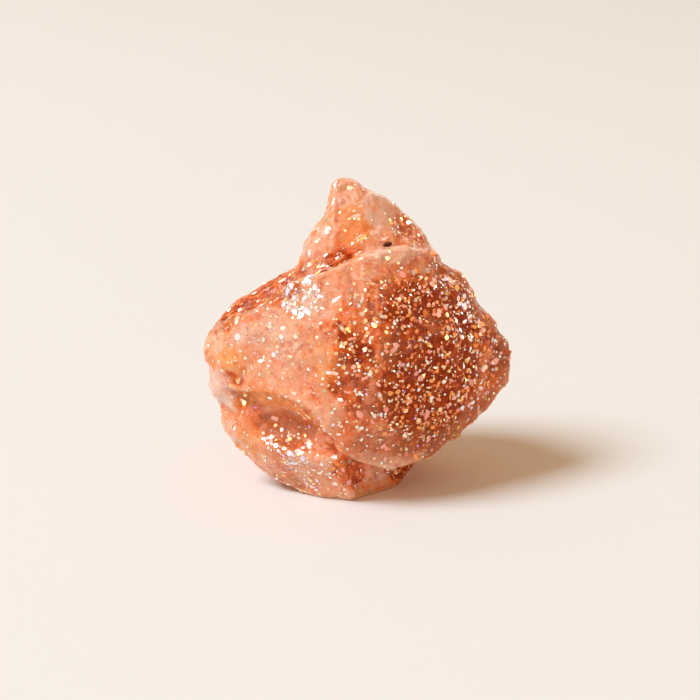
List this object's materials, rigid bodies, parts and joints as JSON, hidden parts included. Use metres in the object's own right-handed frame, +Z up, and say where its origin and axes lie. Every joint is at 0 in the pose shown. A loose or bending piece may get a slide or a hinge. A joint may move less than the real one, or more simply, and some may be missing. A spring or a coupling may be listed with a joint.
{
  "type": "rough sunstone",
  "caption": "Rough sunstone: one broken lump of translucent orange feldspar with a set-back peak and glittering platelets, resting on a small flat spot.",
  "frame": {"origin": "middle of the bounding box's bottom, on the plane that the flat spot rests on", "axes": "+Z up, +X to the right and +Y away from the viewer as the stone is seen from its glittering face; the stone is shallowest along Y"},
  "size_m": [0.0298, 0.0208, 0.0299],
  "materials": {
    "sunstone": "translucent orange to red-brown feldspar with a waxy to glassy break, paler at the ridges, full of bright copper-coloured platelets"
  },
  "bodies": {
    "root": {"sunstone": "sunstone"}
  },
  "joints": []
}
